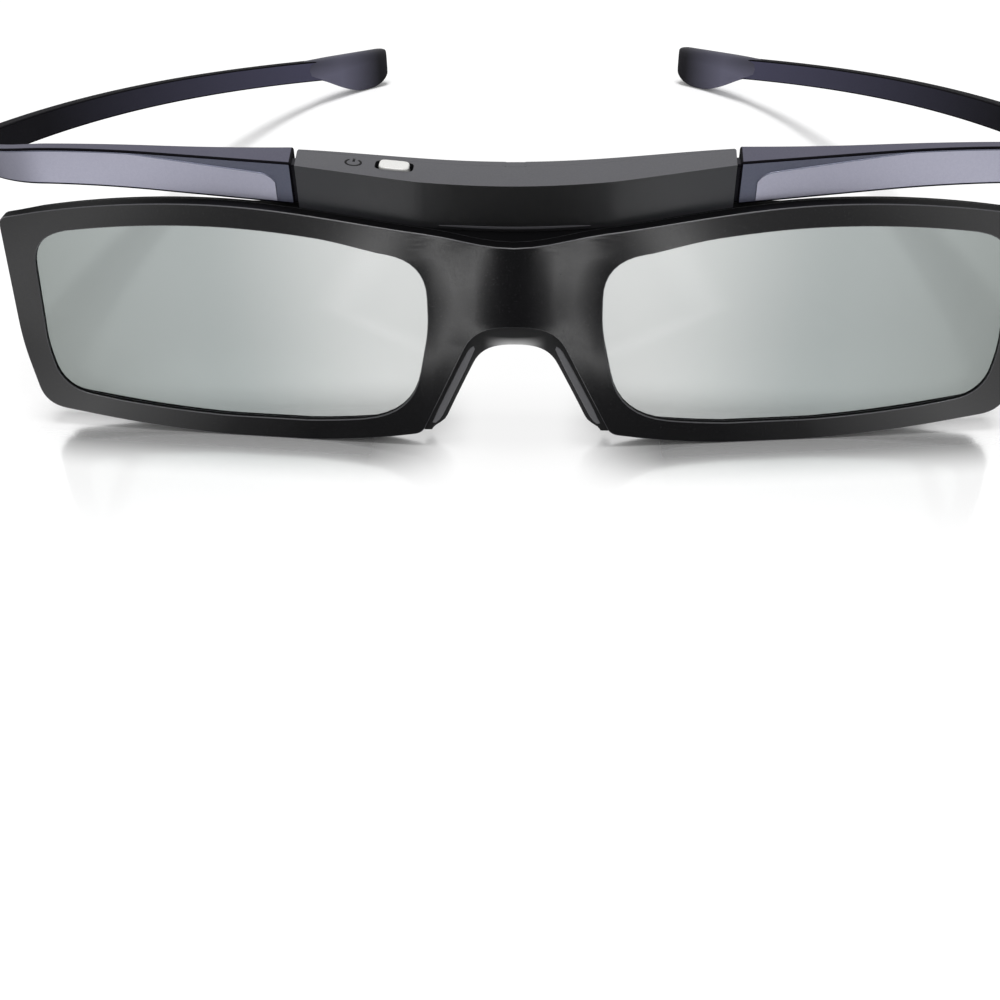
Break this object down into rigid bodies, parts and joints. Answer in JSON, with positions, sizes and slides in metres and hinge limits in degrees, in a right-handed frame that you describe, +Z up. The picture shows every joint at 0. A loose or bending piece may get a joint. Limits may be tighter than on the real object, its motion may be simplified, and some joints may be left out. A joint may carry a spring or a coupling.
{
  "type": "active shutter 3-D glasses",
  "caption": "Active-shutter 3-D glasses: wrap lens frame with liquid-crystal lenses, a centre module with push button and coin-cell door, and plug-in wrap-round temples.",
  "frame": {"origin": "on the floor (z = 0) under the middle of the whole object, in its plane of symmetry", "axes": "+X to the right seen from the front, +Y to the rear along the temples, +Z up; the lenses face -Y"},
  "size_m": [0.1708, 0.1728, 0.0484],
  "materials": {
    "frame_black": "satin black",
    "frame_rear_black": "matte black",
    "soft_grey": "matte",
    "lens_glass": "polished, grey-green",
    "polariser_film": "clear grey film",
    "flex_amber": "satin",
    "module_charcoal": "fine matte",
    "door_charcoal": "fine matte",
    "steel": "bright",
    "contact_brass": "plated spring sheet",
    "board_green": "solder mask",
    "chip_black": "moulded",
    "led_clear": "clear",
    "button_white": "satin white",
    "temple_navy": "satin dark navy",
    "pad_rubber": "soft satin"
  },
  "bodies": {
    "front": {"front_frame": "frame_black", "rear_frame": "frame_rear_black", "nose_saddle": "soft_grey", "lens_cell_left": "lens_glass", "lens_cell_right": "lens_glass", "front_polariser_left": "polariser_film", "front_polariser_right": "polariser_film", "rear_polariser_left": "polariser_film", "rear_polariser_right": "polariser_film", "lens_flex_left": "flex_amber", "lens_flex_right": "flex_amber", "module_housing": "module_charcoal", "module_rear_cover": "module_charcoal", "cover_screws": "steel", "main_board": "board_green", "control_chip": "chip_black", "crystal_can": "steel", "status_led": "led_clear", "tact_switch": "steel", "coin_cell": "steel", "contact_plus": "contact_brass", "contact_minus": "contact_brass"},
    "left_temple": {"temple_left": "temple_navy", "ear_pad_left": "pad_rubber"},
    "right_temple": {"temple_right": "temple_navy", "ear_pad_right": "pad_rubber"},
    "button": {"power_button": "button_white"},
    "plunger": {"switch_plunger": "chip_black"},
    "door": {"battery_door": "door_charcoal"}
  },
  "joints": [
    {"name": "left_temple_plug", "type": "slide", "parent": "front", "child": "left_temple", "axis": [-0.9976, 0, 0.0698], "range_m": [0, 0.011]},
    {"name": "right_temple_plug", "type": "slide", "parent": "front", "child": "right_temple", "axis": [0.9976, 0, 0.0698], "range_m": [0, 0.011]},
    {"name": "button_press", "type": "slide", "parent": "front", "child": "button", "axis": [0, 0, -1], "range_m": [0, 0.0004], "stiffness_N_per_m": 1500},
    {"name": "plunger_press", "type": "slide", "parent": "front", "child": "plunger", "axis": [0, 0, -1], "range_m": [0, 0.0004]},
    {"name": "door_turn", "type": "hinge", "parent": "front", "child": "door", "pos_m": [0, -0.073, 0.0326], "axis": [0, 1, 0], "range_deg": [0, 40]}
  ],
  "couplings": [
    {"joint": "plunger_press", "follows": "button_press", "ratio": 1}
  ]
}
